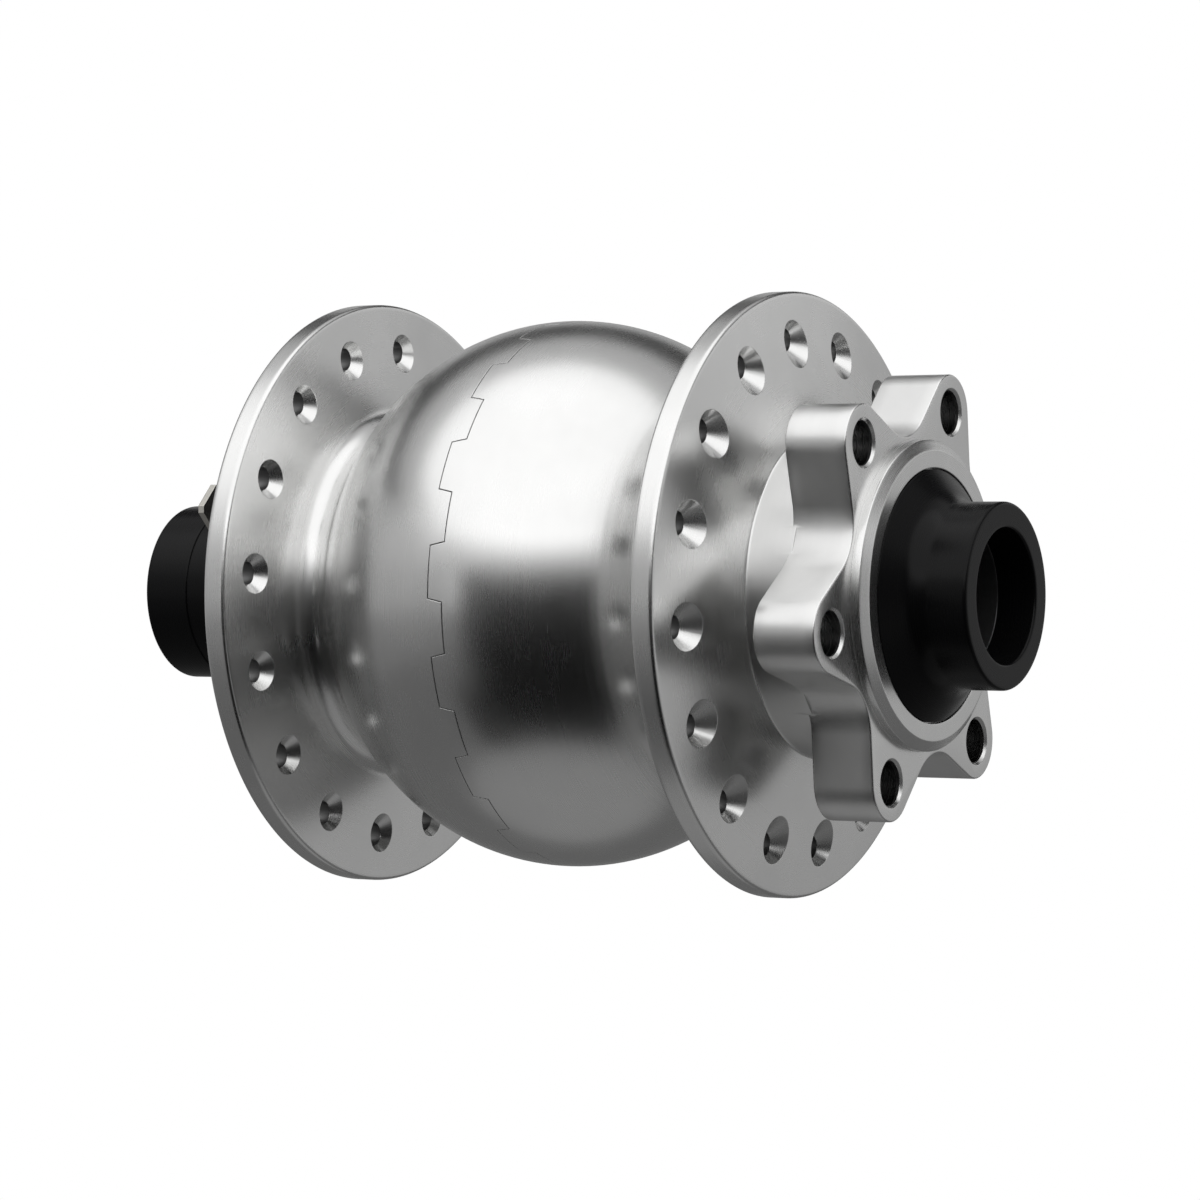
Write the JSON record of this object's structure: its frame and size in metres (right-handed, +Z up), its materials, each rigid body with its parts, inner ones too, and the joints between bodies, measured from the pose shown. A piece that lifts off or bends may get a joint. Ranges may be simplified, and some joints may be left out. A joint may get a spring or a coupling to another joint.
{
  "type": "hub dynamo",
  "caption": "Bicycle front hub for a disc brake and a through axle, with a claw-pole dynamo inside its barrel and spade contacts.",
  "frame": {"origin": "on the hub's axis, midway between its two end faces", "axes": "+Y along the axis towards the brake disc's side, +Z up, +X forward as on the bicycle"},
  "size_m": [0.0688, 0.11, 0.0688],
  "materials": {
    "shell_alloy": "satin silver anodised, finely turned",
    "axle_alloy": "dark anodised",
    "black_alloy": "satin black anodised",
    "contact_plastic": "black moulded",
    "contact_metal": "tinned sheet",
    "ring_rubber": "plain",
    "seal_rubber": "plain",
    "bearing_steel": "ground",
    "cage_polymer": "glass-filled polyamide",
    "turned_steel": "turned",
    "magnetic_steel": "zinc plated",
    "magnet": "nickel plated",
    "bobbin_plastic": "moulded",
    "copper": "enamelled wire",
    "red_insulation": "plain",
    "black_insulation": "plain"
  },
  "bodies": {
    "axle": {"axle_tube": "axle_alloy", "right_end_cap": "black_alloy", "left_end_cap": "black_alloy", "right_o_ring": "ring_rubber", "left_o_ring": "ring_rubber", "contact_ring": "contact_plastic", "live_spade": "contact_metal", "return_spade": "contact_metal", "live_lead": "red_insulation", "return_lead": "black_insulation", "left_inner_race": "bearing_steel", "right_inner_race": "bearing_steel", "left_spacer": "turned_steel", "stator_nut": "turned_steel", "stator_key": "turned_steel", "stator_core": "magnetic_steel", "left_claw_pole": "magnetic_steel", "right_claw_pole": "magnetic_steel", "coil_bobbin": "bobbin_plastic", "coil_winding": "copper"},
    "hub": {"left_shell": "shell_alloy", "right_shell": "shell_alloy", "flux_ring": "magnetic_steel", "magnets": "magnet", "left_outer_race": "bearing_steel", "right_outer_race": "bearing_steel", "left_bearing_seals": "seal_rubber", "right_bearing_seals": "seal_rubber"},
    "left_cage": {"left_ball_cage": "cage_polymer", "left_bearing_balls": "bearing_steel"},
    "right_cage": {"right_ball_cage": "cage_polymer", "right_bearing_balls": "bearing_steel"}
  },
  "joints": [
    {"name": "shell_spin", "type": "hinge", "parent": "axle", "child": "hub", "pos_m": [0, 0, 0], "axis": [0, 1, 0], "continuous": true},
    {"name": "left_cage_spin", "type": "hinge", "parent": "axle", "child": "left_cage", "pos_m": [0, -0.0347, 0], "axis": [0, 1, 0], "continuous": true},
    {"name": "right_cage_spin", "type": "hinge", "parent": "axle", "child": "right_cage", "pos_m": [0, 0.0427, 0], "axis": [0, 1, 0], "continuous": true}
  ],
  "couplings": [
    {"joint": "left_cage_spin", "follows": "shell_spin", "ratio": 0.56731},
    {"joint": "right_cage_spin", "follows": "shell_spin", "ratio": 0.56047}
  ]
}
